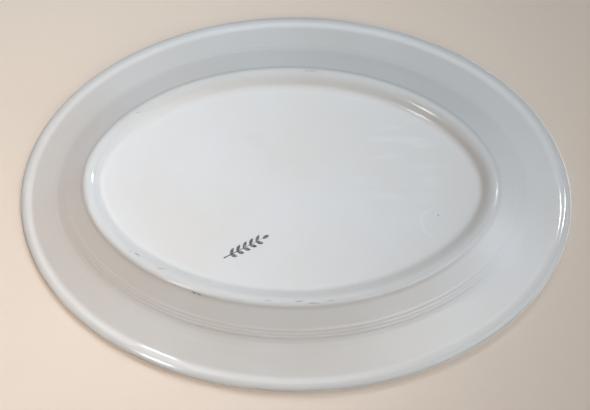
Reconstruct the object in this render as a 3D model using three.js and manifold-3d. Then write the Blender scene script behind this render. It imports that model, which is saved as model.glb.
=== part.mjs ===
// Oval serving platter in vitreous china, standing face up on its foot ring.
// Millimetres, +Z up. The origin is the middle of the foot ring, on the plane it stands on.
// +X runs along the length. An inset is a distance in from the rim, square to it.

import * as THREE from "three";
import { mergeVertices } from "three/addons/utils/BufferGeometryUtils.js";
import Module from "manifold-3d";

// Overall size
const LENGTH = 292;
const WIDTH = 205;
const HEIGHT = 31;

// Rolled edge: the thickened, rounded edge all round the rim
const ROLL_DEPTH = 5.6;
const ROLL_ROUND = 2.8;
const ROLL_INSET = 4.8;
const ROLL_FILLET = 6;
const CROWN_INSET = 4;
const CROWN_ROUND = 4;

// Flange and wall: two slopes that meet at the verge
const VERGE_INSET = 24.5;
const VERGE_HEIGHT = 13.2;
const VERGE_ROUND = 30;
const WALL_THICKNESS = 5;

// Well: the flat floor that the food lies on
const FLOOR_THICKNESS = 5.5;
const WELL_COVE = 14;

// Foot ring, and the shallow recess that it stands round
const FOOT_INSET = 39;
const FOOT_DRAFT = 0.5;
const FOOT_HEIGHT = 2.6;
const FOOT_WIDTH = 4.3;
const FOOT_ROUND = 1.5;
const FOOT_FILLET = 2;
const CREST_ROUND = 3;
const RECESS_DEPTH = 3.8;
const RECESS_SLOPE_WIDTH = 5.6;
const RECESS_COVE = 6;

// Backstamp: a leafy sprig printed on the floor of the recess
const INK_THICKNESS = 0.12;
const SPRIG_X = -21.6;
const SPRIG_EDGE_DISTANCE = 20.7;
const SPRIG_TURN = -29;
const STEM_LENGTH = 24;
const STEM_WIDTH = 0.7;
const LEAF_PAIRS = 5;
const LEAF_LENGTH = 4.2;
const LEAF_WIDTH = 1.7;
const LEAF_LEAN = 38;

// Fineness of the facets
const SEGMENTS = 64;
const ARC_STEP = THREE.MathUtils.degToRad(24);

// Insets of the foot ring's inner edge, and of the edge of the recess floor
const CREST_INSET = FOOT_INSET + FOOT_WIDTH;
const RECESS_INSET = CREST_INSET + RECESS_SLOPE_WIDTH;

const wasm = await Module();
wasm.setup();

// Height of a sloping wall, measured straight up, where it is `thickness` through.
function uprightThickness(thickness, run, rise) {
  return (thickness * Math.hypot(run, rise)) / run;
}

// Half of the angle that a corner of the section turns through, seen from inside it.
function halfAngleAt(before, corner, after) {
  const toBefore = before.clone().sub(corner);
  const toAfter = after.clone().sub(corner);
  return Math.acos(toBefore.dot(toAfter) / (toBefore.length() * toAfter.length())) / 2;
}

// How far along its edges each corner's arc reaches. Two arcs too big for the edge that they share
// are made smaller by the same factor.
function arcReaches(points, radii) {
  const wanted = radii.map((radius, i) =>
    radius === 0 ? 0 : radius / Math.tan(halfAngleAt(points[i - 1], points[i], points[i + 1])),
  );
  const fits = (i) => points[i].distanceTo(points[i + 1]) / (wanted[i] + wanted[i + 1]);
  return wanted.map((reach, i) => (reach === 0 ? 0 : reach * Math.min(1, fits(i - 1), fits(i))));
}

// Swaps a corner of the section for an arc that touches the edges on both sides of it.
function roundedCorner(before, corner, after, reach) {
  const halfAngle = halfAngleAt(before, corner, after);
  const toBefore = before.clone().sub(corner).normalize();
  const toAfter = after.clone().sub(corner).normalize();
  const start = corner.clone().addScaledVector(toBefore, reach);
  const middle = toBefore.clone().add(toAfter).normalize();
  const centre = corner.clone().addScaledVector(middle, reach / Math.cos(halfAngle));
  const turn = (Math.PI - 2 * halfAngle) * -Math.sign(toBefore.cross(toAfter));
  const steps = Math.ceil(Math.abs(turn) / ARC_STEP);
  const arc = [];
  for (let step = 0; step <= steps; step += 1) {
    arc.push(start.clone().rotateAround(centre, (turn * step) / steps));
  }
  return arc;
}

// Corners of the section, from the middle of the underside round the rim to the middle of the well.
function sectionCorners() {
  const middle = WIDTH / 2;
  const footRoot = FOOT_INSET - FOOT_DRAFT;
  const wallRun = footRoot - VERGE_INSET;
  const wallRise = VERGE_HEIGHT - FOOT_HEIGHT;
  const vergeTop = VERGE_HEIGHT + uprightThickness(WALL_THICKNESS, wallRun, wallRise);
  const wellHeight = RECESS_DEPTH + FLOOR_THICKNESS;
  const wellInset = VERGE_INSET + ((vergeTop - wellHeight) * wallRun) / wallRise;
  return [
    { inset: middle, z: RECESS_DEPTH, radius: 0 },
    { inset: RECESS_INSET, z: RECESS_DEPTH, radius: RECESS_COVE },
    { inset: CREST_INSET, z: 0, radius: CREST_ROUND },
    { inset: FOOT_INSET, z: 0, radius: FOOT_ROUND },
    { inset: footRoot, z: FOOT_HEIGHT, radius: FOOT_FILLET },
    { inset: VERGE_INSET, z: VERGE_HEIGHT, radius: VERGE_ROUND },
    { inset: ROLL_INSET, z: HEIGHT - ROLL_DEPTH, radius: ROLL_FILLET },
    { inset: 0, z: HEIGHT - ROLL_DEPTH, radius: ROLL_ROUND },
    { inset: 0, z: HEIGHT, radius: ROLL_ROUND },
    { inset: CROWN_INSET, z: HEIGHT, radius: CROWN_ROUND },
    { inset: VERGE_INSET, z: vergeTop, radius: VERGE_ROUND },
    { inset: wellInset, z: wellHeight, radius: WELL_COVE },
    { inset: middle, z: wellHeight, radius: 0 },
  ];
}

// The section as points of a lathe profile, which starts and ends on the axis.
function bodyProfile() {
  const corners = sectionCorners();
  const points = corners.map(({ inset, z }) => new THREE.Vector2(WIDTH / 2 - inset, z));
  const reaches = arcReaches(points, corners.map(({ radius }) => radius));
  return points.flatMap((point, i) =>
    reaches[i] === 0 ? [point] : roundedCorner(points[i - 1], point, points[i + 1], reaches[i]),
  );
}

// Stretches a round dish along X into the oval. Every ring outside the recess floor is lengthened
// by the same amount, so the rim, flange and foot ring keep their width all the way round.
function stretchToOval(geometry) {
  const extra = (LENGTH - WIDTH) / 2;
  const flatRadius = WIDTH / 2 - RECESS_INSET - RECESS_COVE;
  const position = geometry.getAttribute("position");
  for (let i = 0; i < position.count; i += 1) {
    const radius = Math.hypot(position.getX(i), position.getY(i));
    position.setX(i, position.getX(i) * (1 + extra / Math.max(radius, flatRadius)));
  }
  return geometry;
}

function bodyGeometry() {
  const dish = new THREE.LatheGeometry(bodyProfile(), SEGMENTS);
  dish.rotateX(Math.PI / 2);
  return stretchToOval(dish);
}

// A leaf that grows from the origin along +X, pointed at both ends.
function leafShape() {
  const leaf = new THREE.Shape();
  leaf.moveTo(0, 0);
  leaf.quadraticCurveTo(LEAF_LENGTH / 2, LEAF_WIDTH, LEAF_LENGTH, 0);
  leaf.quadraticCurveTo(LEAF_LENGTH / 2, -LEAF_WIDTH, 0, 0);
  return leaf;
}

// The stem, drawn along +X, which tapers to a point.
function stemShape() {
  const stem = new THREE.Shape();
  stem.moveTo(0, -STEM_WIDTH / 2);
  stem.lineTo(STEM_LENGTH, 0);
  stem.lineTo(0, STEM_WIDTH / 2);
  stem.closePath();
  return stem;
}

function inkLayer(shape) {
  return new THREE.ExtrudeGeometry(shape, { depth: INK_THICKNESS, bevelEnabled: false, curveSegments: 4 });
}

function toSolid(geometry) {
  geometry.deleteAttribute("normal");
  geometry.deleteAttribute("uv");
  const merged = mergeVertices(geometry);
  const vertProperties = new Float32Array(merged.getAttribute("position").array);
  const triVerts = new Uint32Array(merged.getIndex().array);
  return new wasm.Manifold(new wasm.Mesh({ numProp: 3, vertProperties, triVerts }));
}

function toGeometry(solid) {
  const { vertProperties, triVerts } = solid.getMesh();
  const geometry = new THREE.BufferGeometry();
  geometry.setAttribute("position", new THREE.BufferAttribute(vertProperties, 3));
  geometry.setIndex(new THREE.BufferAttribute(triVerts, 1));
  geometry.computeVertexNormals();
  return geometry;
}

// Pairs of leaves along the stem and one leaf at its tip, joined into one layer of ink.
function sprigGeometry() {
  let sprig = toSolid(inkLayer(stemShape()));
  const reach = STEM_LENGTH - LEAF_LENGTH / 2;
  for (let pair = 0; pair < LEAF_PAIRS; pair += 1) {
    for (const side of [-1, 1]) {
      const leaf = inkLayer(leafShape());
      leaf.rotateZ(side * THREE.MathUtils.degToRad(LEAF_LEAN));
      leaf.translate((reach * (pair + 1)) / (LEAF_PAIRS + 1), 0, 0);
      sprig = sprig.add(toSolid(leaf));
    }
  }
  const tipLeaf = inkLayer(leafShape());
  tipLeaf.translate(reach, 0, 0);
  const geometry = toGeometry(sprig.add(toSolid(tipLeaf)));
  geometry.translate(-STEM_LENGTH / 2, 0, 0);
  geometry.rotateZ(THREE.MathUtils.degToRad(SPRIG_TURN));
  return geometry;
}

function makeBody() {
  const china = new THREE.MeshStandardMaterial({ color: 0xe4e4e0, roughness: 0.12, metalness: 0 });
  const body = new THREE.Mesh(bodyGeometry(), china);
  body.name = "china_body";
  return body;
}

function makeBackstamp() {
  const ink = new THREE.MeshStandardMaterial({ color: 0x5d665c, roughness: 0.15, metalness: 0 });
  const backstamp = new THREE.Mesh(sprigGeometry(), ink);
  backstamp.name = "backstamp";
  const sprigY = WIDTH / 2 - RECESS_INSET - SPRIG_EDGE_DISTANCE;
  backstamp.position.set(SPRIG_X, sprigY, RECESS_DEPTH - INK_THICKNESS);
  return backstamp;
}

const platter = new THREE.Group();
platter.add(makeBody());
platter.add(makeBackstamp());

export default platter;
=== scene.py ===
"""Oval serving platter in glazed vitreous china, with a plain stage to show it on.

Metres, +Z up. The platter stands face up on its foot ring, with its length along X. An inset is a
distance in from the rim, square to it.
"""

import math

import bmesh
import bpy
from mathutils import Matrix, Vector, noise


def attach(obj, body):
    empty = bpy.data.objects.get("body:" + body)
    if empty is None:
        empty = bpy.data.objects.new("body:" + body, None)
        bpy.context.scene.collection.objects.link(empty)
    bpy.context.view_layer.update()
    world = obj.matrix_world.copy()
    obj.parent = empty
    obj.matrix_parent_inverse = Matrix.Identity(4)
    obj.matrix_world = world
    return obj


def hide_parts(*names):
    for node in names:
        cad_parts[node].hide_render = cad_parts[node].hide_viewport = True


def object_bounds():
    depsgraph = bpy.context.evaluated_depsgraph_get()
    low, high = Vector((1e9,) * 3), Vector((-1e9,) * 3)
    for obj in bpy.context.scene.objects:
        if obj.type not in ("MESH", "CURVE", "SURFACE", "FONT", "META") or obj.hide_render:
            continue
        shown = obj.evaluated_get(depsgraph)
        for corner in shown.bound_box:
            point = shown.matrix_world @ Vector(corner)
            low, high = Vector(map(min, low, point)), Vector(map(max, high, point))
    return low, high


bl_info = {
    "name": "China serving platter",
    "version": (1, 0, 0),
    "blender": (4, 5, 0),
    "location": "3D View > Sidebar > Platter",
    "description": "Makes an oval platter in glazed vitreous china and a plain stage to show it on",
    "category": "Add Mesh",
}

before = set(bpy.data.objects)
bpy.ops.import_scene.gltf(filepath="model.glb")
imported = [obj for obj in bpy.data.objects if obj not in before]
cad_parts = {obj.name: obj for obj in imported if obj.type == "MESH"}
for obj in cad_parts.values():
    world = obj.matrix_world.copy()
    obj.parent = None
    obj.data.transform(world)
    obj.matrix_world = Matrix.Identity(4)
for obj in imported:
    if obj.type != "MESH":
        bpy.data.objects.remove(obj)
CAD_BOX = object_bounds()
CAD_SIZE = CAD_BOX[1] - CAD_BOX[0]

MM = 0.001


# ---------------------------------------------------------------- sizes and colours


def size(name, description, default):
    """A length that a user may change, with its default in millimetres."""
    return bpy.props.FloatProperty(
        name=name, description=description, default=default * MM, unit="LENGTH", precision=4
    )


def linear(code, alpha=1.0):
    """An sRGB hex colour as linear RGBA."""
    values = [int(code.lstrip("#")[i : i + 2], 16) / 255 for i in (0, 2, 4)]
    curve = [v / 12.92 if v <= 0.04045 else ((v + 0.055) / 1.055) ** 2.4 for v in values]
    return (*curve, alpha)


def colour(name, description, code):
    """A colour that a user may change, with its default as an sRGB hex code."""
    return bpy.props.FloatVectorProperty(
        name=name, description=description, subtype="COLOR", size=4, min=0, max=1,
        default=linear(code),
    )


class PlatterSizes(bpy.types.PropertyGroup):
    """The platter's sizes."""

    length: size("Length", "Over the rim, along X", CAD_SIZE.x / MM)
    width: size("Width", "Over the rim, along Y", CAD_SIZE.y / MM)
    height: size("Height", "From the foot to the rim", CAD_SIZE.z / MM)
    roll_depth: size("Roll depth", "Height of the rolled edge", 5.6)
    roll_round: size("Roll round", "Radius on the outside of the rolled edge", 2.5)
    roll_belly: size("Roll belly", "Radius under the rolled edge", 5)
    belly_inset: size("Belly inset", "How far in the belly starts to turn up", 2.35)
    belly_rise: size("Belly rise", "How far up the rim the belly reaches", 1.8)
    roll_inset: size("Roll inset", "Where the rolled edge meets the flange", 6.2)
    roll_fillet: size("Roll fillet", "Radius in the hollow behind the rolled edge", 4.7)
    crown_inset: size("Crown inset", "Where the top of the rim turns down to the flange", 4)
    crown_round: size("Crown round", "Radius on top of the rim", 4)
    verge_inset: size("Verge inset", "Where the wall turns out to the flange", 22.5)
    verge_height: size("Verge height", "Height of the underside at the verge", 15.6)
    verge_round: size("Verge round", "Radius where the wall turns out to the flange", 34)
    wall_thickness: size("Wall thickness", "China through the wall", 5)
    floor_thickness: size("Floor thickness", "China through the floor", 5.5)
    well_cove: size("Well cove", "Radius where the well floor meets the wall", 14)
    foot_inset: size("Foot inset", "Outer edge of the foot ring", 39.4)
    foot_draft: size("Foot draft", "Lean of the foot ring's outer face", 2)
    foot_height: size("Foot height", "Outer face of the foot ring", 2.4)
    foot_width: size("Foot width", "Crest of the foot ring, before its edges are rounded", 4.3)
    foot_round: size("Foot round", "Radius on the foot ring's outer edge", 3)
    foot_fillet: size("Foot fillet", "Radius where the foot ring meets the wall", 6)
    crest_round: size("Crest round", "Radius on the foot ring's inner edge", 7.5)
    recess_depth: size("Recess depth", "Floor inside the foot ring, above the table", 3.8)
    recess_slope: size("Recess slope", "Width of the foot ring's inner slope", 4.6)
    recess_cove: size("Recess cove", "Radius where the slope meets the recess floor", 5)
    ridge_inset: size("Ridge inset", "Middle of the forming ridges under the flange", 26.9)
    ridge_gap: size("Ridge gap", "Between one forming ridge and the next", 1.5)
    ridge_height: size("Ridge height", "How far a forming ridge stands up", 0.3)
    ridge_width: size("Ridge width", "Width of a forming ridge at half its height", 0.6)
    streak_height: size("Streak height", "How far the forming streaks stand up", 0.05)
    streak_width: size("Streak width", "Across a forming streak, square to the rim", 2.2)
    sway: size("Sway", "How far the fired flange wanders from true", 0.1)
    segments: bpy.props.IntProperty(
        name="Segments", description="Steps round the platter", default=320, min=48
    )


class PlatterFinish(bpy.types.PropertyGroup):
    """The colours of the china, its wear and the print."""

    china: colour("China", "Body and clear glaze", "#DEDDD9")
    warm_china: colour("Warm china", "Patches where the body fired a little warmer", "#DCD9D2")
    pooled_glaze: colour("Pooled glaze", "Where the glaze ran together in the hollows", "#CBCBC6")
    thin_glaze: colour("Thin glaze", "Where the glaze drew back from the ridges", "#E6E4DF")
    scuff: colour("Scuff", "Grey marks that shelves and metal left on the foot ring", "#8F8B84")
    grime: colour("Grime", "Dirt in the nick and the worn spots", "#6E655A")
    speck: colour("Speck", "Iron specks in the glaze", "#5A5550")
    wisp: colour("Wisp", "Pale wisps in the glaze", "#EBEDEE")
    ink: colour("Ink", "Printed mark, under the glaze", "#565B57")


class StageSettings(bpy.types.PropertyGroup):
    """The floor, the lights and the camera."""

    floor: colour("Floor", "Pale matt floor", "#E3D4C3")
    backdrop: colour("Backdrop", "What the camera sees beyond the floor", "#DAD6D0")
    floor_radius: size("Floor radius", "Where the floor fades into the backdrop", 2500)
    distance: size("Camera distance", "From the middle of the rim", 800)
    lens: bpy.props.FloatProperty(
        name="Lens", description="Focal length", default=91.85, unit="CAMERA"
    )
    elevation: bpy.props.FloatProperty(
        name="Camera elevation",
        description="Below the platter, which is seen from underneath",
        default=math.radians(-74.306),
        subtype="ANGLE",
    )
    azimuth: bpy.props.FloatProperty(
        name="Camera azimuth",
        description="Round the platter from +Y towards +X",
        default=math.radians(15.235),
        subtype="ANGLE",
    )
    roll: bpy.props.FloatProperty(
        name="Camera roll",
        description="Turn of the camera about its own line of sight",
        default=math.radians(2.281),
        subtype="ANGLE",
    )


# ---------------------------------------------------------------- material tools


def add(tree, kind, values=None):
    """Adds a node. Each value goes to the attribute or the input that it is named for. A node or a
    socket is linked to its input instead, and a bare node stands for its first output."""
    node = tree.nodes.new(kind)
    for name, value in (values or {}).items():
        if isinstance(value, bpy.types.Node):
            value = value.outputs[0]
        if isinstance(value, bpy.types.NodeSocket):
            tree.links.new(value, node.inputs[name])
        elif isinstance(name, str) and hasattr(node, name):
            setattr(node, name, value)
        else:
            node.inputs[name].default_value = value
    return node


def new_material(name):
    """An empty node material and its node tree."""
    material = bpy.data.materials.new(name)
    material.use_nodes = True
    material.node_tree.nodes.clear()
    return material, material.node_tree


# A Map Range node with these eases from 0 up to 1, or from 1 down to 0.
RISING = {"interpolation_type": "SMOOTHSTEP"}
FALLING = {"interpolation_type": "SMOOTHSTEP", "To Min": 1, "To Max": 0}

# A Mix node's mask, its two colours and the colour that comes out, by their places on the node.
MASK, UNDER, OVER, MIXED = 0, 6, 7, 2


def layered(tree, tone, layers):
    """A colour with others laid over it in turn, each where its mask is 1."""
    for over, mask in layers:
        values = {"data_type": "RGBA", MASK: mask, UNDER: tone, OVER: over}
        tone = add(tree, "ShaderNodeMix", values).outputs[MIXED]
    return tone


def combined(tree, operation, masks):
    """Masks made into one. MULTIPLY keeps what they share, and MAXIMUM keeps them all."""
    made = masks[0]
    for mask in masks[1:]:
        made = add(tree, "ShaderNodeMath", {"operation": operation, 0: made, 1: mask})
    return made


def patches(tree, place, grain, start, end, most=1, detail=2, roughness=0.5):
    """A mask of soft patches about `grain` metres across. It is 0 where the noise is under `start`
    and comes to `most` where the noise is at `end`."""
    values = {"Vector": place, "Scale": 1 / grain, "Detail": detail, "Roughness": roughness}
    field = add(tree, "ShaderNodeTexNoise", values)
    limits = {"Value": field, "From Min": start, "From Max": end, "To Max": most}
    return add(tree, "ShaderNodeMapRange", {**RISING, **limits})


def ripples(tree, place, grain, height, detail=2, over=None):
    """A normal for waves about `grain` metres across. They may lie over another normal."""
    values = {"Vector": place, "Scale": 1 / grain, "Detail": detail}
    waves = add(tree, "ShaderNodeTexNoise", values)
    values = {"Height": waves, "Strength": 1, "Distance": height}
    if over:
        values["Normal"] = over
    return add(tree, "ShaderNodeBump", values)


def near(tree, place, spot, inner, outer):
    """1 as far as `inner` from a point, and 0 from `outer`. With `outer` the smaller, it is a hole:
    0 as far as `outer`, and 1 from `inner`."""
    away = add(tree, "ShaderNodeVectorMath", {"operation": "DISTANCE", 0: place, 1: spot})
    limits = {"Value": away.outputs["Value"], "From Min": inner, "From Max": outer}
    return add(tree, "ShaderNodeMapRange", {**FALLING, **limits})


# ---------------------------------------------------------------- the section


# Points closer than this count as one.
TOUCHING = 1e-6


def half_angle(before, corner, after):
    """Half of the angle that the section turns through at a corner, seen from inside it."""
    return (before - corner).angle(after - corner) / 2


def arc_reaches(points, radii):
    """How far along its edges each corner's arc reaches. Two arcs too big for the edge that they
    share are made smaller by the same factor."""
    last = len(points) - 1
    wanted = [
        radii[i] / math.tan(half_angle(points[i - 1], points[i], points[i + 1]))
        if 0 < i < last
        else 0
        for i in range(last + 1)
    ]
    fits = [(points[i + 1] - points[i]).length / (wanted[i] + wanted[i + 1]) for i in range(last)]
    return [
        reach * min(1, fits[i - 1], fits[i]) if 0 < i < last else 0
        for i, reach in enumerate(wanted)
    ]


def turned_corner(before, corner, after, reach, step):
    """The points of the arc that rounds a corner."""
    half = half_angle(before, corner, after)
    to_before = (before - corner).normalized()
    to_after = (after - corner).normalized()
    start = corner + to_before * reach
    centre = corner + (to_before + to_after).normalized() * (reach / math.cos(half))
    side = 1 if to_before.x * to_after.y - to_before.y * to_after.x < 0 else -1
    turn = (math.pi - 2 * half) * side
    steps = math.ceil(abs(turn) / step)
    spoke = start - centre
    return [centre + Matrix.Rotation(turn * i / steps, 2) @ spoke for i in range(steps + 1)]


def section_corners(s):
    """(inset, height, radius) from the middle of the underside, round the rim, to the middle of
    the well."""
    middle = s.width / 2
    root = s.foot_inset - s.foot_draft
    crest = s.foot_inset + s.foot_width
    run = root - s.verge_inset
    rise = s.verge_height - s.foot_height
    upright = s.wall_thickness * math.hypot(run, rise) / run
    verge_top = s.verge_height + upright
    well = s.recess_depth + s.floor_thickness
    well_inset = s.verge_inset + (verge_top - well) * run / rise
    return [
        (middle, s.recess_depth, 0),
        (crest + s.recess_slope, s.recess_depth, s.recess_cove),
        (crest, 0, s.crest_round),
        (s.foot_inset, 0, s.foot_round),
        (root, s.foot_height, s.foot_fillet),
        (s.verge_inset, s.verge_height, s.verge_round),
        (s.roll_inset, s.height - s.roll_depth, s.roll_fillet),
        (s.belly_inset, s.height - s.roll_depth, s.roll_belly),
        (0, s.height - s.roll_depth + s.belly_rise, s.roll_round),
        (0, s.height, s.roll_round),
        (s.crown_inset, s.height, s.crown_round),
        (s.verge_inset, verge_top, s.verge_round),
        (well_inset, well, s.well_cove),
        (middle, well, 0),
    ]


def rounded_section(s, step):
    """The section's corners with their arcs, as (inset, height) points."""
    corners = section_corners(s)
    points = [Vector((inset, z)) for inset, z, _ in corners]
    reaches = arc_reaches(points, [radius for _, _, radius in corners])
    made = []
    for i, point in enumerate(points):
        if reaches[i] == 0:
            made.append(point)
        else:
            made += turned_corner(points[i - 1], point, points[i + 1], reaches[i], step)
    return made


def filled_in(points, spacing):
    """Points with more set between them, so that no two stand further apart than spacing(point)."""
    made = [points[0]]
    for point in points[1:]:
        gap = point - made[-1]
        if gap.length < TOUCHING:
            continue
        start = made[-1]
        steps = math.ceil(gap.length / spacing((start + point) / 2))
        made += [start + gap * (i / steps) for i in range(1, steps + 1)]
    return made


def section_normals(points):
    """Unit vectors square to the section, out of the china."""
    made = []
    for i in range(len(points)):
        along = points[min(i + 1, len(points) - 1)] - points[max(i - 1, 0)]
        made.append(Vector((-along.y, along.x)).normalized())
    return made


# The section's bend is averaged over this much of it either way, and glaze lies thickest in a
# hollow of this radius or less.
LIE_REACH = 1.5 * MM
LIE_RADIUS = 5 * MM


def glaze_lies(points):
    """How the glaze lies at each point of the section: up to 1 in a hollow, where it gathers, and
    down to -1 on a ridge, where it draws thin."""
    made = []
    for i, point in enumerate(points):
        turn, reach = 0, 0
        for j in range(1, len(points) - 1):
            if (points[j] - point).length < LIE_REACH:
                before, after = points[j] - points[j - 1], points[j + 1] - points[j]
                turn += before.angle_signed(after)
                reach += (before.length + after.length) / 2
        bend = turn / max(reach, LIE_REACH) * LIE_RADIUS
        made.append(max(-1, min(1, bend)))
    return made


# ---------------------------------------------------------------- the china body


# The turn of one step along an arc, and the longest steps along the section.
ARC_STEP = math.radians(9)
UPPER_STEP = 1.8 * MM
UNDER_STEP = 0.7 * MM
FLOOR_STEP = 5 * MM
RIDGE_STEP = 0.22 * MM

RIDGE_COUNT = 3
# A bell curve's reach, in widths at half its height.
BELL_REACH = 0.6

# How far apart the flange's rises and dips are, and how long a forming streak is.
SWAY_LENGTH = 38 * MM
STREAK_LENGTH = 45 * MM


def floor_inset(s):
    """The inset where both floors begin. Rings further in shrink to the middle."""
    return s.foot_inset + s.foot_width + s.recess_slope + s.recess_cove / 2


def is_under(s, point):
    """Whether a point of the section between the foot ring and the rim is on the underside."""
    slope = (s.height - s.roll_depth - s.verge_height) / (s.verge_inset - s.roll_inset)
    return point.y < s.verge_height + (s.verge_inset - point.x) * slope + s.wall_thickness / 2


def section_spacing(s):
    """Fine steps over the forming ridges, long ones over the floors."""
    start = floor_inset(s)
    reach = s.ridge_gap * (RIDGE_COUNT + 1) / 2

    def spacing(point):
        if point.x > start:
            return FLOOR_STEP
        if not is_under(s, point):
            return UPPER_STEP
        return RIDGE_STEP if abs(point.x - s.ridge_inset) < reach else UNDER_STEP

    return spacing


def body_section(s):
    """The points of the section, with one where the floors begin."""
    start = floor_inset(s)
    made = []
    for point in rounded_section(s, ARC_STEP):
        if made and (made[-1].x - start) * (point.x - start) < 0:
            made.append(made[-1].lerp(point, (start - made[-1].x) / (point.x - made[-1].x)))
        made.append(point)
    return filled_in(made, section_spacing(s))


def swell(s, inset):
    """1 in the middle of the wall and flange, and 0 at the rolled edge and the foot ring and
    beyond them."""
    foot_root = s.foot_inset - s.foot_draft
    span = (inset - s.roll_inset) / (foot_root - s.roll_inset)
    return math.sin(math.pi * span) ** 2 if 0 < span < 1 else 0


def forming_lift(s, inset, place):
    """How far the marks of the forming tool stand up under the flange: three fine ridges, cut
    deepest on the +Y side, and low streaks that run round the oval and come and go."""
    lift = 0
    bite = s.ridge_height * (0.5 + place.y / s.width)
    for i in range(RIDGE_COUNT):
        middle = s.ridge_inset + (i - (RIDGE_COUNT - 1) / 2) * s.ridge_gap
        lift += bite * math.exp(-(((inset - middle) / (s.ridge_width * BELL_REACH)) ** 2))
    along = place / STREAK_LENGTH
    streak = noise.noise(Vector((along.x, along.y, inset / s.streak_width)))
    return lift + s.streak_height * streak * swell(s, inset)


def china_ring(s, point, normal):
    """Places round the oval for one point of the section. Rings keep their distance from the rim as
    far in as the floors, and from there they shrink to the middle, which is one place."""
    half_x, half_y = s.length / 2, s.width / 2
    start = floor_inset(s)
    inset, z = point
    if inset > half_y - TOUCHING:
        return [Vector((0, 0, z))]
    under = is_under(s, point)
    shrink = 1 - max(0, inset - start) / (half_y - start)
    ring = []
    for step in range(s.segments):
        t = 2 * math.pi * step / s.segments
        out = Vector((half_y * math.cos(t), half_x * math.sin(t))).normalized()
        rim = Vector((half_x * math.cos(t), half_y * math.sin(t)))
        level = (rim - out * min(inset, start)) * shrink
        place = Vector((level.x, level.y, z))
        lift = s.sway * swell(s, inset) * noise.noise(place / SWAY_LENGTH)
        if under:
            lift += forming_lift(s, inset, place)
        across = Vector((-out.x * normal.x, -out.y * normal.x, normal.y))
        ring.append(place + across * lift)
    return ring


def china_body_mesh(s):
    """Turns the section round the oval. Each vertex keeps how the glaze lies on it."""
    points = body_section(s)
    mesh = bmesh.new()
    lie_layer = mesh.verts.layers.float.new("glaze_lie")
    rings = []
    for point, normal, lie in zip(points, section_normals(points), glaze_lies(points)):
        ring = [mesh.verts.new(place) for place in china_ring(s, point, normal)]
        for vertex in ring:
            vertex[lie_layer] = lie
        rings.append(ring)
    for first, second in zip(rings, rings[1:]):
        for i in range(s.segments):
            near_pair = (first[i % len(first)], first[(i + 1) % len(first)])
            far_pair = (second[(i + 1) % len(second)], second[i % len(second)])
            # Where a ring is one vertex, this leaves a triangle.
            mesh.faces.new(list(dict.fromkeys(near_pair + far_pair)))
    bmesh.ops.recalc_face_normals(mesh, faces=mesh.faces)
    for face in mesh.faces:
        face.smooth = True
    return mesh


def linked_object(name, mesh):
    """A mesh object in the scene, made from a bmesh."""
    data = bpy.data.meshes.new(name)
    mesh.to_mesh(data)
    mesh.free()
    made = bpy.data.objects.new(name, data)
    bpy.context.scene.collection.objects.link(made)
    return made


# Marks on the platter, in millimetres and degrees. Scuffs and nicks: middle in X and Y, turn about
# Z, length and width. Specks, wisps and the pale ring: middle in X and Y, and reach.
SCUFFS = [
    (-79.5, 37.2, 34, 1.8, 1.1),
    (-76.0, 38.7, 28, 4.6, 1.4),
    (-63.2, 45.7, 4, 6.4, 0.8),
    (-80.5, -37.3, -26, 2.6, 1.0),
    (-8.1, 60.8, 2, 5.0, 0.8),
    (7.5, 60.8, -7, 6.4, 1.1),
    (15.0, 61.6, 1, 8.2, 1.2),
    (23.0, 60.0, -9, 6.0, 0.8),
    (8.9, -61.6, 0, 9.0, 0.9),
]
NICKS = [(-45.9, 57.7, 24, 2.9, 0.9), (-43.2, 58.9, 32, 3.4, 1.6)]
SPECKS = [(76.3, 13.6, 0.45), (-33.0, 24.5, 0.16), (112.0, -22.0, 0.18), (-18.0, -84.0, 0.2)]
WISP_FIELD = (58.0, -15.0, 34.0)
WISP_RING = (75.0, 17.5, 7.2)

# The share of its reach that a mark fills before it fades.
DASH_CORE = 0.35
SPOT_CORE = 0.3

# Wisps are about this wide. They are drawn out along a line near X, to 1 / WISP_DRAW of that.
WISP_WIDTH = 5 * MM
WISP_TURN = math.radians(-12)
WISP_DRAW = 0.22

# The pale ring fades over this much outside its reach. Its hollow is set off towards +X, and clears
# from just inside the reach to just outside it.
RING_FADE = 1.2 * MM
HOLLOW_SHIFT = 1.6 * MM
HOLLOW_START = -0.6 * MM
HOLLOW_END = 2 * MM

# How strongly each thing colours the china or the print, where 1 hides what is under it.
STRENGTH = {
    "pooled": 0.5,
    "thin": 0.6,
    "wisp": 0.3,
    "ring": 0.35,
    "crest": 0.06,
    "scuff": 0.8,
    "nick": 0.9,
    "mottle": 0.55,
}

GLAZE_IOR = 1.52
GLAZE_ROUGHNESS = 0.09
WORN_ROUGHNESS = 0.5


def dash(tree, place, mark):
    """1 along the middle of a long mark, and 0 from its edge."""
    x, y, turn, length, width = mark
    values = {
        "vector_type": "TEXTURE",
        "Vector": place,
        "Location": (x * MM, y * MM, 0),
        "Rotation": (0, 0, math.radians(turn)),
        "Scale": (length / 2 * MM, width / 2 * MM, MM),
    }
    return near(tree, add(tree, "ShaderNodeMapping", values), (0, 0, 0), DASH_CORE, 1)


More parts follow.
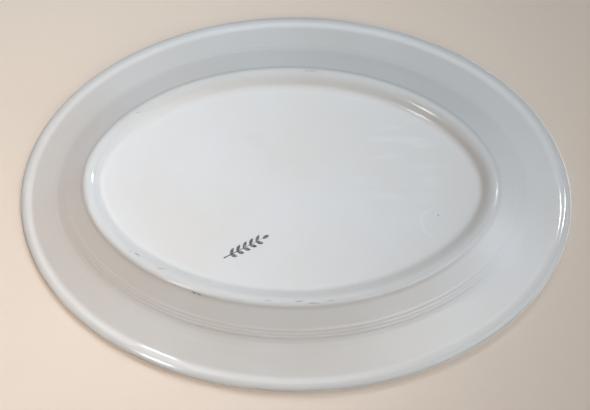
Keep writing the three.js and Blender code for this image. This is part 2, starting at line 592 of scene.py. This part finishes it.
def pale_wisps(tree, place, recess_depth):
    """Masks for the wisps in the glaze of the recess and for the pale ring by the big speck."""
    values = {"Vector": place, "Scale": (WISP_DRAW, 1, 1), "Rotation": (0, 0, WISP_TURN)}
    turned = add(tree, "ShaderNodeMapping", values)
    drawn = patches(tree, turned, WISP_WIDTH, 0.5, 0.72, STRENGTH["wisp"])
    x, y, reach = (value * MM for value in WISP_FIELD)
    field = near(tree, place, (x, y, recess_depth), reach * SPOT_CORE, reach)
    x, y, reach = (value * MM for value in WISP_RING)
    disc = near(tree, place, (x, y, recess_depth), reach, reach + RING_FADE)
    middle = (x + HOLLOW_SHIFT, y, recess_depth)
    hole = near(tree, place, middle, reach + HOLLOW_END, reach + HOLLOW_START)
    return (
        combined(tree, "MULTIPLY", [drawn, field]),
        combined(tree, "MULTIPLY", [disc, hole, STRENGTH["ring"]]),
    )


def glazed_vitreous_china(finish, recess_depth):
    """Vitreous china, jiggered, dipped in clear glaze and fired. A dense off-white body under a
    smooth, hard gloss that waves slightly where the glaze ran."""
    material, tree = new_material("glazed_vitreous_china")
    place = add(tree, "ShaderNodeTexCoord").outputs["Object"]
    across_x, across_y, height = add(tree, "ShaderNodeSeparateXYZ", {0: place}).outputs
    flat = add(tree, "ShaderNodeCombineXYZ", {0: across_x, 1: across_y})
    lie = add(tree, "ShaderNodeAttribute", {"attribute_name": "glaze_lie"}).outputs["Fac"]

    # Clouds of body colour about 60 mm across.
    warm = patches(tree, place, 60 * MM, 0.35, 0.65, detail=3)

    # Glaze gathers in the hollows and draws thin over the ridges.
    limits = {"Value": lie, "From Min": 0.1, "From Max": 1, "To Max": STRENGTH["pooled"]}
    pooled = add(tree, "ShaderNodeMapRange", {**RISING, **limits})
    limits = {"Value": lie, "From Min": -0.1, "From Max": -1, "To Max": STRENGTH["thin"]}
    thin = add(tree, "ShaderNodeMapRange", {**RISING, **limits})

    wisps, ring = pale_wisps(tree, place, recess_depth)

    # The crest of the foot ring is worn dull, with grey scuffs broken up by grit 0.9 mm across.
    limits = {"Value": height, "From Min": 0.1 * MM, "From Max": 0.55 * MM}
    crest = add(tree, "ShaderNodeMapRange", {**FALLING, **limits})
    limits = {"Value": height, "From Min": 1.2 * MM, "From Max": 2 * MM}
    low = add(tree, "ShaderNodeMapRange", {**FALLING, **limits})
    grit = patches(tree, place, 0.9 * MM, 0.36, 0.52, detail=3, roughness=0.7)
    wear = [combined(tree, "MULTIPLY", [crest, grit, STRENGTH["crest"]])]
    for mark in SCUFFS:
        wear.append(combined(tree, "MULTIPLY", [dash(tree, flat, mark), grit, low]))
    worn = combined(tree, "MAXIMUM", wear)

    # Two nicks in the foot ring hold dirt, and a few iron specks show through the glaze.
    nicks = [combined(tree, "MULTIPLY", [dash(tree, flat, mark), low]) for mark in NICKS]
    specks = [
        near(tree, flat, (x * MM, y * MM, 0), reach * SPOT_CORE * MM, reach * MM)
        for x, y, reach in SPECKS
    ]

    layers = [
        (finish.warm_china, warm),
        (finish.pooled_glaze, pooled),
        (finish.thin_glaze, thin),
        (finish.wisp, wisps),
        (finish.wisp, ring),
        (finish.scuff, combined(tree, "MULTIPLY", [worn, STRENGTH["scuff"]])),
    ]
    for nick in nicks:
        layers.append((finish.grime, combined(tree, "MULTIPLY", [nick, STRENGTH["nick"]])))
    layers += [(finish.speck, speck) for speck in specks]

    # Glaze runs about 22 mm apart, a fine skin about 3 mm apart, and the nicks.
    runs = ripples(tree, place, 22 * MM, 0.05 * MM)
    skin = ripples(tree, place, 3 * MM, 0.003 * MM, over=runs)
    dent = combined(tree, "MAXIMUM", nicks)
    values = {"Height": dent, "Strength": 1, "Distance": 0.4 * MM, "invert": True, "Normal": skin}
    nicked = add(tree, "ShaderNodeBump", values)

    # The glaze is dull where it is worn or nicked.
    marked = combined(tree, "MAXIMUM", [worn, dent])
    limits = {"Value": marked, "To Min": GLAZE_ROUGHNESS, "To Max": WORN_ROUGHNESS}
    dulled = add(tree, "ShaderNodeMapRange", {**RISING, **limits})
    values = {
        "Base Color": layered(tree, finish.china, layers),
        "IOR": GLAZE_IOR,
        "Roughness": dulled,
        "Normal": nicked,
    }
    shader = add(tree, "ShaderNodeBsdfPrincipled", values)
    add(tree, "ShaderNodeOutputMaterial", {"Surface": shader})
    return material


def underglaze_print(finish):
    """Ceramic ink, printed on the biscuit and glazed over. Dark and a little mottled, with the
    glaze's gloss."""
    material, tree = new_material("underglaze_print")
    place = add(tree, "ShaderNodeTexCoord").outputs["Object"]
    # Mottle about 1 mm across, where the ink took unevenly.
    thin = patches(tree, place, 1 * MM, 0.45, 0.8, STRENGTH["mottle"])
    tone = layered(tree, finish.ink, [(finish.pooled_glaze, thin)])
    values = {"Base Color": tone, "IOR": GLAZE_IOR, "Roughness": GLAZE_ROUGHNESS}
    shader = add(tree, "ShaderNodeBsdfPrincipled", values)
    add(tree, "ShaderNodeOutputMaterial", {"Surface": shader})
    return material


# ---------------------------------------------------------------- the stage


# The floor fades between these shares of its radius.
FLOOR_FADE_START = 0.3
FLOOR_FADE_END = 0.95

# Between the rim and the floor card behind it.
FLOOR_GAP = 0.1 * MM


def matt_painted_board(stage):
    """Board under matt paint. Soft and even, with no shine. It shows from its front only, and
    fades out at its edge, so that each view has one floor behind the platter."""
    material, tree = new_material("matt_painted_board")
    place = add(tree, "ShaderNodeTexCoord").outputs["Object"]
    # The paint's stipple is drawn about 4 mm across. The real one is too fine to show.
    stipple = ripples(tree, place, 4 * MM, 0.1 * MM, detail=3)
    paint = add(tree, "ShaderNodeBsdfDiffuse", {"Color": stage.floor, "Normal": stipple})
    clear = add(tree, "ShaderNodeBsdfTransparent")
    start, end = stage.floor_radius * FLOOR_FADE_START, stage.floor_radius * FLOOR_FADE_END
    fade = near(tree, place, (0, 0, 0), end, start)
    back = add(tree, "ShaderNodeNewGeometry").outputs["Backfacing"]
    unseen = combined(tree, "MAXIMUM", [fade, back])
    mixed = add(tree, "ShaderNodeMixShader", {0: unseen, 1: paint, 2: clear})
    add(tree, "ShaderNodeOutputMaterial", {"Surface": mixed})
    return material


def floor_card(name, height, faces_up, stage, material):
    """A round card that only the camera sees, and only from its front. Light passes through it,
    so the platter is lit from above and below at once."""
    mesh = bmesh.new()
    turn = Matrix.Identity(4) if faces_up else Matrix.Rotation(math.pi, 4, "X")
    bmesh.ops.create_circle(
        mesh, cap_ends=True, radius=stage.floor_radius, segments=96, matrix=turn
    )
    card = linked_object(name, mesh)
    card.location.z = height
    card.data.materials.append(material)
    card.visible_diffuse = False
    card.visible_glossy = False
    card.visible_transmission = False
    card.visible_shadow = False


def placed_light(name, kind, place, aim, power, shade):
    """A light turned towards a point. The camera doesn't see it."""
    data = bpy.data.lights.new(name, kind)
    data.energy = power
    data.color = linear(shade)[:3]
    light = bpy.data.objects.new(name, data)
    light.location = place
    light.rotation_euler = (Vector(aim) - Vector(place)).to_track_quat("-Z", "Y").to_euler()
    light.visible_camera = False
    bpy.context.scene.collection.objects.link(light)
    return light


# Rectangular soft lights: name, place, the point they are turned to, width, length, spread in
# degrees, power, colour.
SOFTBOXES = [
    ("overhead", (0.25, -0.35, 1.5), (0, 0, 0), 1.2, 1.2, 180, 16, "#FFFFFF"),
    ("side", (-1.2, 0.9, 0.8), (0, 0, 0), 0.7, 0.9, 180, 5, "#FFF4E6"),
    ("pane", (0.6, -0.3, -1.07), (0, 0, 0.03), 0.08, 0.3, 180, 2.8, "#FFFFFF"),
    ("lamp", (-0.57, 0.68, -1.0), (-0.11, 0.12, 0.03), 0.1, 0.3, 20, 0.06, "#FFFFFF"),
]

# Soft spotlights turned to the -X end, so that the light falls off towards +X. They leave no
# reflection. Name, place, the point they are turned to, cone in degrees, radius, power, colour.
SPOTLIGHTS = [
    ("skylight_left", (-0.535, -0.927, -1.158), (-0.17, 0.06, 0.031), 26, 0.15, 21.5, "#FEFFFC"),
    ("skylight", (0, -1.071, -1.158), (-0.17, 0.06, 0.031), 26, 0.15, 33.6, "#D8E9FF"),
    ("warm_wall", (-0.919, 0, -0.74), (-0.15, 0.08, 0.031), 30, 0.15, 8.63, "#FFA200"),
    ("fill", (-0.339, -0.339, -1.285), (-0.15, 0, 0.031), 26, 0.2, 7.54, "#FFFDE6"),
]

# Soft glows in the room: name, azimuth from +X towards +Y and elevation in degrees, how sharply it
# fades (a power of the cosine), strength, colour.
GLOWS = [
    ("bright_wall", 36, -50, 18, 1.51, "#EBF3FF"),
    ("ceiling", -90, -67, 18, 1.6, "#B8DCFF"),
    ("right_bounce", 20, -12, 18, 2.55, "#E3EAFF"),
    ("low_wall", 60, -33, 18, 1.89, "#FFF8EA"),
    ("upper_room", 0, 90, 3, 0.55, "#FBFBFF"),
]


def studio_lights():
    """Sets up the softboxes and the spotlights."""
    for name, place, aim, width, length, spread, power, shade in SOFTBOXES:
        box = placed_light(name, "AREA", place, aim, power, shade).data
        box.shape = "RECTANGLE"
        box.size, box.size_y = width, length
        box.spread = math.radians(spread)
    for name, place, aim, cone, radius, power, shade in SPOTLIGHTS:
        spot = placed_light(name, "SPOT", place, aim, power, shade)
        spot.visible_glossy = False
        spot.data.spot_size, spot.data.spot_blend = math.radians(cone), 1
        spot.data.shadow_soft_size = radius


def room_light(stage):
    """A plain room with soft glows in it. The camera sees one pale tone."""
    world = bpy.data.worlds.new("plain_room")
    world.use_nodes = True
    tree = world.node_tree
    tree.nodes.clear()
    way = add(tree, "ShaderNodeTexCoord").outputs["Generated"]
    total = None
    for name, azimuth, elevation, sharpness, strength, shade in GLOWS:
        a, e = math.radians(azimuth), math.radians(elevation)
        middle = (math.cos(e) * math.cos(a), math.cos(e) * math.sin(a), math.sin(e))
        facing = add(tree, "ShaderNodeVectorMath", {"operation": "DOT_PRODUCT", 0: way, 1: middle})
        power = facing.outputs["Value"]
        for operation, value in (("MAXIMUM", 0), ("POWER", sharpness), ("MULTIPLY", strength)):
            power = add(tree, "ShaderNodeMath", {"operation": operation, 0: power, 1: value})
        values = {"label": name, "Color": linear(shade), "Strength": power}
        glow = add(tree, "ShaderNodeBackground", values)
        total = add(tree, "ShaderNodeAddShader", {0: total, 1: glow}) if total else glow
    seen = add(tree, "ShaderNodeLightPath").outputs["Is Camera Ray"]
    plain = add(tree, "ShaderNodeBackground", {"Color": stage.backdrop, "Strength": 1})
    mixed = add(tree, "ShaderNodeMixShader", {0: seen, 1: total, 2: plain})
    add(tree, "ShaderNodeOutputWorld", {"Surface": mixed})
    return world


# How far beside the middle of the rim the camera is turned to.
AIM_OFFSET = Vector((1.24 * MM, 2.66 * MM, 0))


def stage_camera(stage, rim_height):
    """A camera under the platter, which looks up at its underside."""
    data = bpy.data.cameras.new("camera")
    data.lens = stage.lens
    data.sensor_width = 36
    data.clip_start, data.clip_end = 0.01, 20
    camera = bpy.data.objects.new("camera", data)
    bpy.context.scene.collection.objects.link(camera)
    middle = Vector((0, 0, rim_height))
    level = math.cos(stage.elevation)
    way = Vector(
        (
            level * math.sin(stage.azimuth),
            level * math.cos(stage.azimuth),
            math.sin(stage.elevation),
        )
    )
    camera.location = middle + way * stage.distance
    back = (camera.location - middle - AIM_OFFSET).normalized()
    right = Vector((0, -1, 0)).cross(back).normalized()
    up = back.cross(right)
    turned_right = right * math.cos(stage.roll) + up * math.sin(stage.roll)
    turned_up = back.cross(turned_right)
    camera.rotation_euler = Matrix((turned_right, turned_up, back)).transposed().to_euler()
    bpy.context.scene.camera = camera


# ---------------------------------------------------------------- operators


class PLATTER_OT_china_body(bpy.types.Operator):
    """Makes the china body: well, flange, rolled edge and foot ring in one piece"""

    bl_idname = "platter.china_body"
    bl_label = "China body"

    def execute(self, context):
        scene = context.scene
        body = linked_object("oval_china_body", china_body_mesh(scene.platter_sizes))
        china = glazed_vitreous_china(scene.platter_finish, scene.platter_sizes.recess_depth)
        body.data.materials.append(china)
        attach(body, "root")
        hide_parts("china_body")
        return {"FINISHED"}


class PLATTER_OT_backstamp(bpy.types.Operator):
    """Gives the printed sprig in the recess its ink"""

    bl_idname = "platter.backstamp"
    bl_label = "Backstamp"

    def execute(self, context):
        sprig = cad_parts["backstamp"]
        sprig.data.materials.clear()
        sprig.data.materials.append(underglaze_print(context.scene.platter_finish))
        return {"FINISHED"}


class PLATTER_OT_stage(bpy.types.Operator):
    """Makes the floor cards, lights, room light and camera"""

    bl_idname = "platter.stage"
    bl_label = "Stage"

    def execute(self, context):
        scene = context.scene
        stage = scene.platter_stage
        rim = scene.platter_sizes.height
        board = matt_painted_board(stage)
        floor_card("floor_under_foot", 0, True, stage, board)
        floor_card("floor_behind_rim", rim + FLOOR_GAP, False, stage, board)
        studio_lights()
        scene.world = room_light(stage)
        scene.view_settings.view_transform = "Standard"
        stage_camera(stage, rim)
        return {"FINISHED"}


class PLATTER_PT_panel(bpy.types.Panel):
    """Lists the platter's operators, sizes and colours"""

    bl_label = "China serving platter"
    bl_idname = "PLATTER_PT_panel"
    bl_space_type = "VIEW_3D"
    bl_region_type = "UI"
    bl_category = "Platter"

    def draw(self, context):
        for operator in OPERATORS:
            self.layout.operator(operator.bl_idname)
        for name in GROUPS:
            box = self.layout.box()
            group = getattr(context.scene, name)
            for key in group.bl_rna.properties.keys():
                if key not in ("rna_type", "name"):
                    box.prop(group, key)


OPERATORS = (PLATTER_OT_china_body, PLATTER_OT_backstamp, PLATTER_OT_stage)
GROUPS = {
    "platter_sizes": PlatterSizes,
    "platter_finish": PlatterFinish,
    "platter_stage": StageSettings,
}
CLASSES = (*GROUPS.values(), *OPERATORS, PLATTER_PT_panel)


def register():
    for cls in CLASSES:
        bpy.utils.register_class(cls)
    for name, group in GROUPS.items():
        setattr(bpy.types.Scene, name, bpy.props.PointerProperty(type=group))


def unregister():
    for name in GROUPS:
        delattr(bpy.types.Scene, name)
    for cls in reversed(CLASSES):
        bpy.utils.unregister_class(cls)


def main():
    """Makes the platter and its stage."""
    register()
    for operator in OPERATORS:
        group, name = operator.bl_idname.split(".")
        getattr(getattr(bpy.ops, group), name)()


if __name__ == "__main__":
    main()
